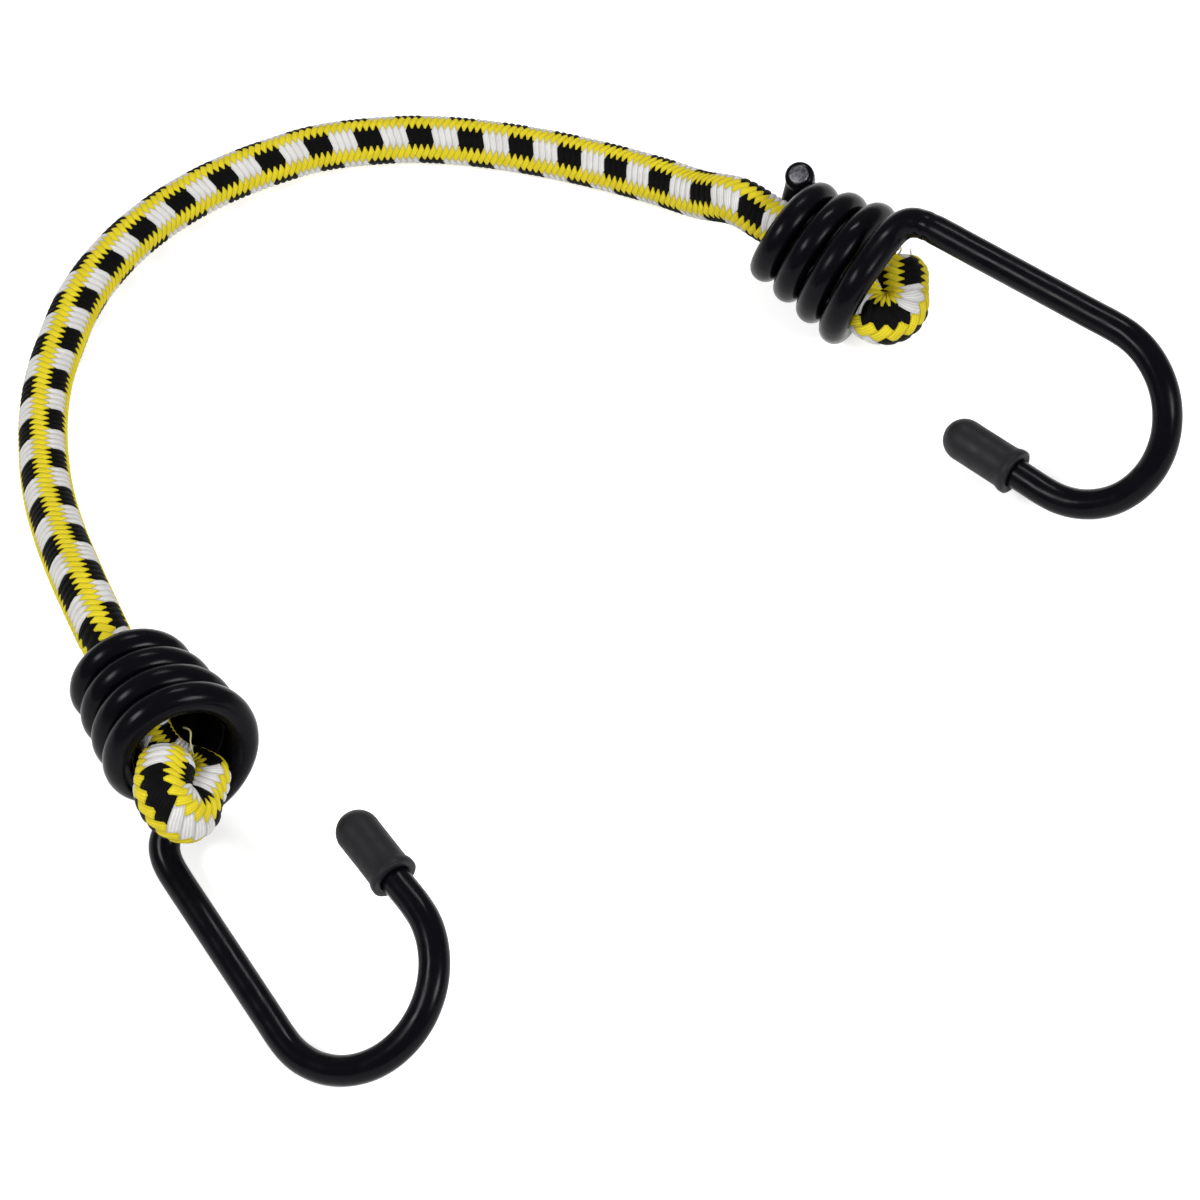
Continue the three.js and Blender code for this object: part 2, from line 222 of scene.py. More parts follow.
# Girth of the cord as a share of its diameter, at lengths along it in millimetres
CORD_GIRTH = ((0, 0.95), (6, 0.98), (10, 1.07), (30, 1.07), (60, 1.0), (100, 0.98), (140, 0.98), (190, 1.0))

# Camera: sensor and lens in millimetres, degrees above the floor, and metres from the middle of the part
SENSOR_WIDTH = 36.0
LENS = 222.0
VIEW_ELEVATION = 53.58
VIEW_DISTANCE = 1.2
VIEW_END = 10.0

# Stage: each lamp's place and size in metres and its power in watts, the floor's reach and its drop in
# metres, its colour, its glow where the camera or a reflection sees it, and the light of the world
LAMPS = (
    ("key", (-0.85, -0.35, 0.95), 0.52, 0.32, 9.3),
    ("fill", (0.80, -0.60, 0.75), 0.44, 0.32, 8.8),
    ("top", (0.05, 0.70, 1.0), 0.40, 0.16, 3.5),
)
FLOOR_REACH = 3.0
FLOOR_DROP = 0.0002
FLOOR_COLOUR = (0.86, 0.86, 0.86)
FLOOR_GLOW = 0.55
WORLD_LIGHT = 0.32
WHITE = (1.0, 1.0, 1.0)


# Curves

def smoothstep(value, low, high):
    """0 up to the low value, 1 from the high one on, and a smooth rise between them."""
    share = np.clip((np.asarray(value, float) - low) / (high - low), 0.0, 1.0)
    return share * share * (3.0 - 2.0 * share)


def spline(points, per_segment=24):
    """Smooth line through the points, closer together where the points are."""
    p = np.asarray(points, float)
    p = np.vstack([2 * p[0] - p[1], p, 2 * p[-1] - p[-2]])
    t = np.linspace(0.0, 1.0, per_segment, endpoint=False)[:, None]
    line = []
    for i in range(1, len(p) - 2):
        a, b, c, d = p[i - 1], p[i], p[i + 1], p[i + 2]
        ab, bc, cd = (max(np.linalg.norm(q), 1e-6) ** 0.5 for q in (b - a, c - b, d - c))
        leave = ((b - a) / ab - (c - a) / (ab + bc) + (c - b) / bc) * bc
        arrive = ((c - b) / bc - (d - b) / (bc + cd) + (d - c) / cd) * bc
        line.append(
            b + leave * t + (-3 * b + 3 * c - 2 * leave - arrive) * t ** 2
            + (2 * b - 2 * c + leave + arrive) * t ** 3
        )
    return np.vstack(line + [p[-2][None]])


def run_lengths(line):
    """Length along a line at each of its points."""
    return np.concatenate([[0.0], np.cumsum(np.linalg.norm(np.diff(line, axis=0), axis=1))])


def resample(line, spacing):
    """The same line with points at an even spacing."""
    runs = run_lengths(line)
    count = max(2, int(round(runs[-1] / spacing)) + 1)
    at = np.linspace(0.0, runs[-1], count)
    return np.stack([np.interp(at, runs, line[:, k]) for k in range(3)], axis=1)


def carried_frames(line):
    """Tangent, normal and binormal along a line, with the normal carried along without twist."""
    tangent = np.gradient(line, axis=0)
    tangent /= np.linalg.norm(tangent, axis=1)[:, None]
    seed = np.array([0.0, 0.0, 1.0]) if abs(tangent[0, 2]) < 0.9 else np.array([1.0, 0.0, 0.0])
    normal = np.zeros_like(line)
    current = seed - tangent[0] * (seed @ tangent[0])
    for i, along in enumerate(tangent):
        current = current - along * (current @ along)
        current /= np.linalg.norm(current)
        normal[i] = current
    return tangent, normal, np.cross(tangent, normal)


# Centre lines of the hook, the fold and the cord

def hook_axes(lay):
    """The hook's own axes: along the spiral, across from the shank to the tip, and out of its plane."""
    heading, pitch, lean = (math.radians(lay[k]) for k in ("heading", "pitch", "lean"))
    axis = np.array([math.cos(heading), math.sin(heading), math.tan(pitch)])
    axis /= np.linalg.norm(axis)
    level = np.array([-axis[1], axis[0], 0.0])
    level /= np.linalg.norm(level)
    across = level * math.cos(lean) + np.cross(axis, level) * math.sin(lean)
    return axis, across, np.cross(axis, across)


def to_part(lay, local):
    """Points of a hook's own frame, in millimetres, moved into the part's frame."""
    basis = np.stack(hook_axes(lay))
    return np.asarray(lay["mouth"]) + np.asarray(local, float) @ basis


def wire_line(lay):
    """Centre line of the wire in the hook's own frame: spiral, bend, shank, bow and tip."""
    turns = lay["coil_turns"]
    count = round(turns * COIL_STEPS)
    left = turns * (1.0 - np.arange(count + 1) / count)
    angle = math.radians(COIL_END_ANGLE) + 2 * math.pi * left
    radius = MOUTH_RADIUS - lay["coil_flare"] * left
    radius = radius + lay["cut_end_lift"] * smoothstep(left, turns - CUT_END_TURNS, turns)
    lean = radius * np.cos(angle - math.radians(COIL_TILT_TOWARDS)) * math.tan(math.radians(COIL_TILT))
    along = lay["coil_reach"] - lay["coil_pitch"] * left + lean
    points = [np.array(q) for q in zip(along, radius * np.cos(angle), radius * np.sin(angle))]

    splay = math.radians(SHANK_SPLAY)
    forward = np.array([math.cos(splay), math.sin(splay), 0.0])
    sideways = np.array([-math.sin(splay), math.cos(splay), 0.0])
    foot = np.array([0.0, -(MOUTH_RADIUS + SHANK_STANDOFF), -SHANK_DROP])

    def spot(along, across):
        return foot + forward * along + sideways * across

    end = points[-1]
    leaving = end - points[-2]
    leaving /= np.linalg.norm(leaving)
    start = lay["coil_reach"] + BEND_REACH
    handles = [end, end + leaving * BEND_LEAVES, spot(start - BEND_ARRIVES, 0), spot(start, 0)]
    for t in np.linspace(0, 1, BEND_STEPS + 1)[1:]:
        weights = ((1 - t) ** 3, 3 * t * (1 - t) ** 2, 3 * t ** 2 * (1 - t), t ** 3)
        points.append(sum(w * h for w, h in zip(weights, handles)))
    points += [spot(along, 0) for along in np.arange(start + SHANK_STEP, SHANK_LENGTH - 1, SHANK_STEP)]
    sweep = math.pi + math.radians(BOW_CLOSING)
    for turn in np.linspace(0, sweep, BOW_STEPS + 1):
        points.append(spot(SHANK_LENGTH + BOW_RADIUS * math.sin(turn), BOW_RADIUS * (1 - math.cos(turn))))
    last = (SHANK_LENGTH + BOW_RADIUS * math.sin(sweep), BOW_RADIUS * (1 - math.cos(sweep)))
    for share in (0.25, 0.5, 0.75, 1.0):
        run = LEG_LENGTH * share
        points.append(spot(last[0] + run * math.cos(sweep), last[1] + run * math.sin(sweep)))
    return spline(points, WIRE_FINENESS)


def fold_line(lay, cord_radius):
    """Centre line of the folded end in the hook's own frame, with the cord's radius along it."""
    apex = np.array(lay["bow_apex"]) / np.linalg.norm(lay["bow_apex"])
    upright = np.array([0.0, 1.0, 0.0]) - apex[1] * apex
    upright /= np.linalg.norm(upright)
    turn = math.radians(lay["bow_turn"])
    across = math.cos(turn) * upright + math.sin(turn) * np.cross(apex, upright)
    centre, size = np.array(lay["bow_centre"]), lay["bow_radius"]
    straight = (FOLD_JOIN, (FOLD_JOIN + FOLD_SHIFT_START) / 2, FOLD_SHIFT_START)
    points = [(along, 0.0, 0.0) for along in straight] + list(lay["limb"])
    first_of_bow = len(points)
    for sweep in np.linspace(0, math.pi, FOLD_BOW_STEPS + 1):
        points.append(centre + size * (apex * math.sin(sweep) + across * math.cos(sweep)))
    points.append(lay["tail_end"])
    line = spline(points, CORD_FINENESS)
    runs = run_lengths(line)
    bow_at = runs[CORD_FINENESS * first_of_bow]
    freed = smoothstep(runs, bow_at - FOLD_FREED, bow_at + FOLD_FULL)
    squeezed = cord_radius - FOLD_SQUEEZE
    to_end = np.clip((runs[-1] - runs) / TAIL_ROUND, 0, 1)
    return line, (squeezed + (lay["bow_girth"] - squeezed) * freed) * (1 - TAIL_TAPER * (1 - to_end) ** 2)


def cord_line():
    """Centre line of the cord from one spiral to the other, in the part's frame."""
    left, right = HOOKS["left"], HOOKS["right"]
    start = [to_part(left, (along, 0, 0)) for along in (CORD_END, *left["entry"])]
    finish = [to_part(right, (along, 0, 0)) for along in (CORD_END, *right["entry"])]
    route = [np.add(point, ROUTE_SHIFT) for point in ROUTE]
    return spline(start + route + finish[::-1], CORD_FINENESS)


# Meshes

def new_object(name, vertices, faces, material, smooth=True):
    """A mesh object in the scene, with one material or none."""
    mesh = bpy.data.meshes.new(name)
    mesh.from_pydata([tuple(v) for v in vertices], [], faces)
    mesh.validate()
    mesh.update()
    if smooth:
        mesh.shade_smooth()
    piece = bpy.data.objects.new(name, mesh)
    bpy.context.collection.objects.link(piece)
    if material:
        mesh.materials.append(material)
    return piece


def band_faces(rings, sides):
    """Faces between rings that follow one another, all with the same number of sides."""
    faces = []
    for row in range(rings - 1):
        for side in range(sides):
            a, b = row * sides + side, row * sides + (side + 1) % sides
            faces.append((a, b, b + sides, a + sides))
    return faces


def swept(line, radii, sides, lobes=0, lobe_depth=0.0):
    """Rings round a line, closed at both ends, in the units of the line."""
    radii = np.broadcast_to(radii, len(line))
    _, normal, binormal = carried_frames(line)
    angle = np.linspace(0, 2 * math.pi, sides, endpoint=False)
    size = radii[:, None] * (1.0 - lobe_depth * (0.5 - 0.5 * np.cos(lobes * angle))[None])
    vertices = (
        line[:, None]
        + normal[:, None] * (size * np.cos(angle))[..., None]
        + binormal[:, None] * (size * np.sin(angle))[..., None]
    ).reshape(-1, 3)
    faces = band_faces(len(line), sides)
    last = (len(line) - 1) * sides
    faces.append(tuple(range(sides - 1, -1, -1)))
    faces.append(tuple(range(last, last + sides)))
    return vertices, faces


def braid_lattice(rows_at, turn_at, first_row):
    """Flat sheet of the braid: x is the share of the way round, y the length along, z the yarn's rise.

    Strands of one way lie at whole values of a, those of the other way at whole values of b, and each
    passes over two and under two. Faces follow the strands, so each one belongs to one yarn.
    """
    rows = len(rows_at)
    round_count = 2 * STRANDS * STEPS
    half = round_count // 2
    sheet = np.zeros((rows, half, 3))
    for row in range(rows):
        around = 2 * np.arange(half) + row % 2
        a, b = strand_spot(around, row + first_row)
        share = around / round_count
        bands = STRANDS // 2
        spread = CHECK_SPREAD * np.sin(2 * math.pi * (bands * share - CHECK_SPREAD_FROM))
        sheet[row, :, 0] = turn_at[row] - share - spread
        sheet[row, :, 1] = rows_at[row]
        sheet[row, :, 2] = yarn_rise(a, b)

    def index(around, row):
        return row * half + ((around - row % 2) % round_count) // 2

    faces, tones, spots = [], [], []
    shift_b, shift_a = YARN_SHIFTS

    def add(*corners):
        faces.append(tuple(index(*corner) for corner in corners))
        places = [strand_spot(around, row + first_row) for around, row in corners]
        tone, along_b, strand = yarn_of(*np.mean(places, axis=0))
        tones.append(tone)
        for a, b in places:
            on_yarn = (a - strand, b + shift_b * strand) if along_b else (b - strand, a + shift_a * strand)
            spots.append(on_yarn)

    for row in range(1, rows - 1):
        for k in range(half):
            at = 2 * k + row % 2
            add((at, row), (at + 1, row + 1), (at + 1, row - 1))
            add((at + 2, row), (at + 1, row - 1), (at + 1, row + 1))
    for k in range(half):
        add((2 * k, 0), (2 * k + 1, 1), (2 * k + 2, 0))
        at = 2 * k + (rows - 1) % 2
        add((at + 2, rows - 1), (at + 1, rows - 2), (at, rows - 1))
    return sheet.reshape(-1, 3), faces, tones, spots


def strand_spot(around, row):
    """Place of a mesh point counted in strands of one way and of the other."""
    return (around - row) / (2 * STEPS), (around + row) / (2 * STEPS)


def yarn_of(a, b):
    """The strand on top: its tone (0 yellow, 1 black, 2 white), whether it runs along b, its number."""
    i, j = math.floor(a), math.floor(b)
    across, along = a - i, b - j
    crossing = (i + j) % 4
    if crossing == 0 and across + along < TOOTH_TRIM:
        i, j = (i - 1, j) if across < along else (i, j - 1)
    elif crossing == 1 and across + along > 2 - TOOTH_TRIM:
        i, j = (i + 1, j) if across > along else (i, j + 1)
    if (i + j) % 4 < 2:
        return 0, True, i
    return (1 if j % STRANDS < STRANDS // 2 else 2), False, j


def yarn_rise(a, b):
    """How far the top strand stands up at each point, from 0 at its edges to 1 on its back."""
    i, j = np.floor(a), np.floor(b)
    crossing = np.mod(i + j, 4)
    over = crossing < 1.5
    across = np.where(over, a - i, b - j)
    along = np.where(over, b - j + crossing, a - i + crossing - 2)
    back = np.clip(1 - np.abs(2 * across - 1) ** YARN_BACK[0], 0, 1) ** YARN_BACK[1]
    ends = np.clip(1 - np.abs(along - 1) ** YARN_ENDS[0], 0, 1) ** YARN_ENDS[1]
    return back * ends


# Nodes

def link(tree, source, target):
    """Join one node's output to another's input."""
    tree.links.new(source, target)


def feed(tree, socket, value):
    """Give a socket a plain value, or link it to another socket."""
    if isinstance(value, bpy.types.NodeSocket):
        link(tree, value, socket)
    else:
        socket.default_value = value


def number(tree, operation, *values):
    """The result of a math node on sockets or plain numbers."""
    node = tree.nodes.new("ShaderNodeMath")
    node.operation = operation
    for socket, value in zip(node.inputs, values):
        feed(tree, socket, value)
    return node.outputs["Value"]


def mapped(tree, value, from_min=0.0, from_max=1.0, to_min=0.0, to_max=1.0, smooth=False):
    """A value moved from one range into another."""
    node = tree.nodes.new("ShaderNodeMapRange")
    if smooth:
        node.interpolation_type = "SMOOTHSTEP"
    link(tree, value, node.inputs["Value"])
    limits = {"From Min": from_min, "From Max": from_max, "To Min": to_min, "To Max": to_max}
    for key, limit in limits.items():
        node.inputs[key].default_value = limit
    return node.outputs["Result"]


def noise(tree, vector, **values):
    """The value of a noise texture."""
    node = tree.nodes.new("ShaderNodeTexNoise")
    link(tree, vector, node.inputs["Vector"])
    for key, value in values.items():
        feed(tree, node.inputs[key.capitalize()], value)
    return node.outputs["Fac"]


def object_place(tree):
    """The place on the piece, in the piece's own frame."""
    return tree.nodes.new("ShaderNodeTexCoord").outputs["Object"]


def attribute(tree, name, kind):
    """What the mesh stores under a name, as a colour or as a value."""
    node = tree.nodes.new("ShaderNodeAttribute")
    node.attribute_name = name
    return node.outputs[kind]


def colour_between(tree, factor, first, second):
    """A colour between two, by a value that changes over the surface."""
    mix = tree.nodes.new("ShaderNodeMix")
    mix.data_type = "RGBA"
    mix.inputs["A"].default_value = (*first, 1.0)
    mix.inputs["B"].default_value = (*second, 1.0)
    link(tree, factor, mix.inputs["Factor"])
    return mix.outputs["Result"]


def wrap_tree():
    """Geometry nodes that wrap a flat sheet round a path, at the path's own radius."""
    tree = bpy.data.node_groups.new("Braid round path", "GeometryNodeTree")
    tree.is_modifier = True
    face = tree.interface
    face.new_socket("Sheet", in_out="INPUT", socket_type="NodeSocketGeometry")
    path_socket = face.new_socket("Path", in_out="INPUT", socket_type="NodeSocketObject")
    rise_socket = face.new_socket("Yarn rise", in_out="INPUT", socket_type="NodeSocketFloat")
    look_socket = face.new_socket("Finish", in_out="INPUT", socket_type="NodeSocketMaterial")
    face.new_socket("Braid", in_out="OUTPUT", socket_type="NodeSocketGeometry")
    make = tree.nodes.new
    given, made = make("NodeGroupInput"), make("NodeGroupOutput")
    info = make("GeometryNodeObjectInfo")
    link(tree, given.outputs["Path"], info.inputs["Object"])
    sample = make("GeometryNodeSampleCurve")
    sample.mode = "LENGTH"
    sample.data_type = "FLOAT"
    link(tree, info.outputs["Geometry"], sample.inputs["Curves"])
    link(tree, make("GeometryNodeInputRadius").outputs["Radius"], sample.inputs["Value"])
    place = make("ShaderNodeSeparateXYZ")
    link(tree, make("GeometryNodeInputPosition").outputs["Position"], place.inputs["Vector"])
    link(tree, place.outputs["Y"], sample.inputs["Length"])

    def vector(operation, *values):
        node = make("ShaderNodeVectorMath")
        node.operation = operation
        for key, value in values:
            link(tree, value, node.inputs[key])
        return node.outputs["Vector"]

    angle = number(tree, "MULTIPLY", place.outputs["X"], 2 * math.pi)
    normal = sample.outputs["Normal"]
    binormal = vector("CROSS_PRODUCT", (0, sample.outputs["Tangent"]), (1, normal))
    sunk = number(tree, "SUBTRACT", place.outputs["Z"], 1.0)
    sunk = number(tree, "MULTIPLY", sunk, given.outputs["Yarn rise"])
    reach = number(tree, "ADD", sample.outputs["Value"], sunk)
    spot = sample.outputs["Position"]
    for way, part in ((normal, "COSINE"), (binormal, "SINE")):
        size = number(tree, "MULTIPLY", reach, number(tree, part, angle))
        spot = vector("ADD", (0, spot), (1, vector("SCALE", (0, way), ("Scale", size))))
    move = make("GeometryNodeSetPosition")
    link(tree, given.outputs["Sheet"], move.inputs["Geometry"])
    link(tree, spot, move.inputs["Position"])
    real = make("GeometryNodeRealizeInstances")
    link(tree, move.outputs["Geometry"], real.inputs["Geometry"])
    dress = make("GeometryNodeSetMaterial")
    link(tree, real.outputs["Geometry"], dress.inputs["Geometry"])
    link(tree, given.outputs["Finish"], dress.inputs["Material"])
    link(tree, dress.outputs["Geometry"], made.inputs["Braid"])
    sockets = {"path": path_socket, "rise": rise_socket, "look": look_socket}
    return tree, {key: socket.identifier for key, socket in sockets.items()}


def path_curve(name, line, radii):
    """A curve object through the points, in metres, that carries the cord's radius."""
    data = bpy.data.curves.new(name, "CURVE")
    data.dimensions = "3D"
    data.twist_mode = "MINIMUM"
    track = data.splines.new("POLY")
    track.points.add(len(line) - 1)
    for point, spot, radius in zip(track.points, line, np.broadcast_to(radii, len(line))):
        point.co = (*spot, 1.0)
        point.radius = radius
    piece = bpy.data.objects.new(name, data)
    bpy.context.collection.objects.link(piece)
    return piece


def braided(name, line, radii, settings, stretch, turn, first_row=0):
    """A braided sleeve round a line in millimetres, with the braid's stretch and turn along it."""
    line = np.asarray(line) * MM
    runs = run_lengths(line)
    step = settings.check_length / (2 * STRANDS * STEPS)
    rows = [0.0]
    while rows[-1] < runs[-1] - step / 2:
        rows.append(min(rows[-1] + step * float(np.interp(rows[-1], runs, stretch)), runs[-1]))
    vertices, faces, tones, spots = braid_lattice(rows, np.interp(rows, runs, turn), first_row)
    piece = new_object(name, vertices, faces, None)
    palette = np.array([(*tone, 1.0) for tone in (settings.yellow, settings.black, settings.white)])
    tint = piece.data.attributes.new("yarn_colour", "FLOAT_COLOR", "FACE")
    tint.data.foreach_set("color", palette[tones].astype(np.float32).ravel())
    rise = piece.data.attributes.new("yarn_rise", "FLOAT", "POINT")
    rise.data.foreach_set("value", vertices[:, 2].astype(np.float32))
    chart = piece.data.uv_layers.new(name="yarn")
    chart.data.foreach_set("uv", np.array(spots, np.float32).ravel())
    path = path_curve(name + "_path", line, np.broadcast_to(radii, len(line)) * MM)
    tree, sockets = wrap_tree()
    wrap = piece.modifiers.new("Braid round path", "NODES")
    wrap.node_group = tree
    wrap[sockets["path"]] = path
    wrap[sockets["rise"]] = settings.yarn_rise
    wrap[sockets["look"]] = braid_finish()
    depsgraph = bpy.context.evaluated_depsgraph_get()
    finished = bpy.data.meshes.new_from_object(piece.evaluated_get(depsgraph), depsgraph=depsgraph)
    flat = piece.data
    piece.modifiers.clear()
    piece.data = finished
    finished.name = name
    bpy.data.meshes.remove(flat)
    bpy.data.objects.remove(path)
    bpy.data.node_groups.remove(tree)
    finished.shade_smooth()
    return piece


def lift_to_floor(vertices):
    """The same points, with none below the floor."""
    vertices = np.array(vertices)
    vertices[:, 2] = np.maximum(vertices[:, 2], 0.0)
    return vertices


# Finishes

def finish_base(name):
    """A material with its nodes, or with None in place of them where it is already made."""
    material = bpy.data.materials.get(name)
    if material:
        return material, None, None
    material = bpy.data.materials.new(name)
    material.use_nodes = True
    tree = material.node_tree
    return material, tree, tree.nodes["Principled BSDF"]


def filament_group():
    """Fine filaments along a yarn: their height, and how much light falls between them."""
    group = bpy.data.node_groups.get("Yarn filaments")
    if group:
        return group
    group = bpy.data.node_groups.new("Yarn filaments", "ShaderNodeTree")
    lines = group.interface.new_socket("Lines", in_out="INPUT", socket_type="NodeSocketFloat")
    lines.default_value = 5.0
    group.interface.new_socket("Height", in_out="OUTPUT", socket_type="NodeSocketFloat")
    group.interface.new_socket("Shade", in_out="OUTPUT", socket_type="NodeSocketFloat")
    make = group.nodes.new
    given, made = make("NodeGroupInput"), make("NodeGroupOutput")
    chart = make("ShaderNodeUVMap")
    chart.uv_map = "yarn"
    split = make("ShaderNodeSeparateXYZ")
    link(group, chart.outputs["UV"], split.inputs["Vector"])
    wander = noise(group, chart.outputs["UV"], scale=2.2, detail=2.0)
    across = number(group, "MULTIPLY_ADD", wander, 0.12, split.outputs["X"])
    saw = number(group, "PINGPONG", number(group, "MULTIPLY", across, given.outputs["Lines"]), 0.5)
    ridge = mapped(group, saw, from_max=0.5, smooth=True)
    link(group, ridge, made.inputs["Height"])
    link(group, mapped(group, ridge, to_min=0.78), made.inputs["Shade"])
    return group


def marks_group():
    """Moulding waves and handling marks: a height, a roughness and a mask of pale scuffs."""
    group = bpy.data.node_groups.get("Handling marks")
    if group:
        return group
    group = bpy.data.node_groups.new("Handling marks", "ShaderNodeTree")
    face = group.interface
    for name, value in (("Wave scale", 260.0), ("Scuff scale", 900.0), ("Scuff amount", 0.35)):
        face.new_socket(name, in_out="INPUT", socket_type="NodeSocketFloat").default_value = value
    for name in ("Height", "Roughness", "Scuff"):
        face.new_socket(name, in_out="OUTPUT", socket_type="NodeSocketFloat")
    make = group.nodes.new
    given, made = make("NodeGroupInput"), make("NodeGroupOutput")
    place = object_place(group)
    wave = noise(group, place, scale=given.outputs["Wave scale"], detail=1.0)
    grain = noise(group, place, scale=given.outputs["Scuff scale"], detail=5.0, roughness=0.65)
    patches = mapped(group, grain, from_min=0.60, from_max=0.78, smooth=True)
    scuff = number(group, "MULTIPLY", patches, given.outputs["Scuff amount"])
    uneven = mapped(group, wave, 0.3, 0.7, -0.06, 0.08)
    link(group, wave, made.inputs["Height"])
    link(group, number(group, "MULTIPLY_ADD", scuff, 0.35, uneven), made.inputs["Roughness"])
    link(group, scuff, made.inputs["Scuff"])
    return group


def place_group(tree, group, **values):
    """A node group in a tree, with its inputs set."""
    node = tree.nodes.new("ShaderNodeGroup")
    node.node_tree = group
    for key, value in values.items():
        node.inputs[key.replace("_", " ").capitalize()].default_value = value
    return node


def add_bump(tree, shader, height, strength, distance):
    """Small relief on a shader's surface, from a height."""
    bump = tree.nodes.new("ShaderNodeBump")
    bump.inputs["Strength"].default_value = strength
    bump.inputs["Distance"].default_value = distance
    link(tree, height, bump.inputs["Height"])
    link(tree, bump.outputs["Normal"], shader.inputs["Normal"])


def tinted(tree, colour, shade):
    """A colour darkened by a value that changes over the surface."""
    mix = tree.nodes.new("ShaderNodeMix")
    mix.data_type = "RGBA"
    mix.blend_type = "MULTIPLY"
    mix.inputs["Factor"].default_value = 1.0
    link(tree, colour, mix.inputs["A"])
    link(tree, shade, mix.inputs["B"])
    return mix.outputs["Result"]


def braid_finish():
    """Spun polyester yarn: filaments along each strand, a little soiling and a soft sheen, with painted
    shade between the filaments and in the valleys between the yarns.
    """
    material, tree, shader = finish_base("braid yarn")
    if tree is None:
        return material
    filaments = place_group(tree, filament_group(), lines=4.0)
    soil = mapped(tree, noise(tree, object_place(tree), scale=420.0, detail=3.0), 0.35, 0.65, 0.9, 1.0)
    # Painted shade: the colour darkens where a yarn's rise is low, in the valleys between the yarns
    painted_valley_shade = mapped(tree, attribute(tree, "yarn_rise", "Fac"), from_max=0.55, to_min=0.7, smooth=True)
    colour = attribute(tree, "yarn_colour", "Color")
    for shade in (filaments.outputs["Shade"], soil, painted_valley_shade):
        colour = tinted(tree, colour, shade)
    link(tree, colour, shader.inputs["Base Color"])
    shader.inputs["Roughness"].default_value = 0.6
    shader.inputs["Specular IOR Level"].default_value = 0.07
    add_bump(tree, shader, filaments.outputs["Height"], 0.55, 0.00012)
    return material


def thread_finish(colour):
    """A loose yarn: dull and a little bleached in places."""
    material, tree, shader = finish_base("loose yarn")
    if tree is None:
        return material
    patches = noise(tree, object_place(tree), scale=600.0)
    tone = colour_between(tree, patches, [0.6 * c for c in colour], (0.62, 0.56, 0.34))
    link(tree, tone, shader.inputs["Base Color"])
    shader.inputs["Roughness"].default_value = 0.7
    return material


def rubber_finish(colour):
    """Cut latex: dull tan with pale dust."""
    material, tree, shader = finish_base("tan latex")
    if tree is None:
        return material
    marks = place_group(tree, marks_group(), wave_scale=900.0, scuff_scale=2400.0, scuff_amount=0.5)
    tone = colour_between(tree, marks.outputs["Scuff"], colour, (0.75, 0.70, 0.60))
    link(tree, tone, shader.inputs["Base Color"])
    shader.inputs["Roughness"].default_value = 0.75
    add_bump(tree, shader, marks.outputs["Height"], 0.3, 0.0001)
    return material


def plastic_finish(name, colour, scuffed, roughness, shine, marks, bump):
    """Plastic with moulding waves in its gloss and pale scuffs."""
    material, tree, shader = finish_base(name)
    if tree is None:
        return material
    worn = place_group(tree, marks_group(), **marks)
    tone = colour_between(tree, worn.outputs["Scuff"], colour, scuffed)
    link(tree, tone, shader.inputs["Base Color"])
    link(tree, number(tree, "ADD", worn.outputs["Roughness"], roughness), shader.inputs["Roughness"])
    shader.inputs["Specular IOR Level"].default_value = shine
    add_bump(tree, shader, worn.outputs["Height"], **bump)
    return material


def steel_finish(colour):
    """Sheared steel: dull grey, smeared by the shears."""
    material, tree, shader = finish_base("sheared steel")
    if tree is None:
        return material
    drag = noise(tree, object_place(tree), scale=900.0, detail=4.0, distortion=2.5)
    tone = colour_between(tree, mapped(tree, drag, 0.35, 0.65), [0.35 * c for c in colour], colour)
    link(tree, tone, shader.inputs["Base Color"])
    shader.inputs["Metallic"].default_value = 1.0
    shader.inputs["Roughness"].default_value = 0.42
    add_bump(tree, shader, drag, 0.4, 0.0001)
    return material


def floor_finish():
    """Pale floor that glows where the camera or a reflection sees it, and keeps the object's shadow."""
    material, tree, shader = finish_base("pale floor")
    if tree is None:
        return material
    shader.inputs["Base Color"].default_value = (*FLOOR_COLOUR, 1.0)
    shader.inputs["Roughness"].default_value = 0.9
    shader.inputs["Specular IOR Level"].default_value = 0.1
    shader.inputs["Emission Color"].default_value = (*WHITE, 1.0)
    path = tree.nodes.new("ShaderNodeLightPath").outputs
    seen = number(tree, "MAXIMUM", path["Is Glossy Ray"], path["Is Transmission Ray"])
    seen = number(tree, "MAXIMUM", path["Is Camera Ray"], seen)
    link(tree, number(tree, "MULTIPLY", seen, FLOOR_GLOW), shader.inputs["Emission Strength"])
    return material


# Settings, operators and panel

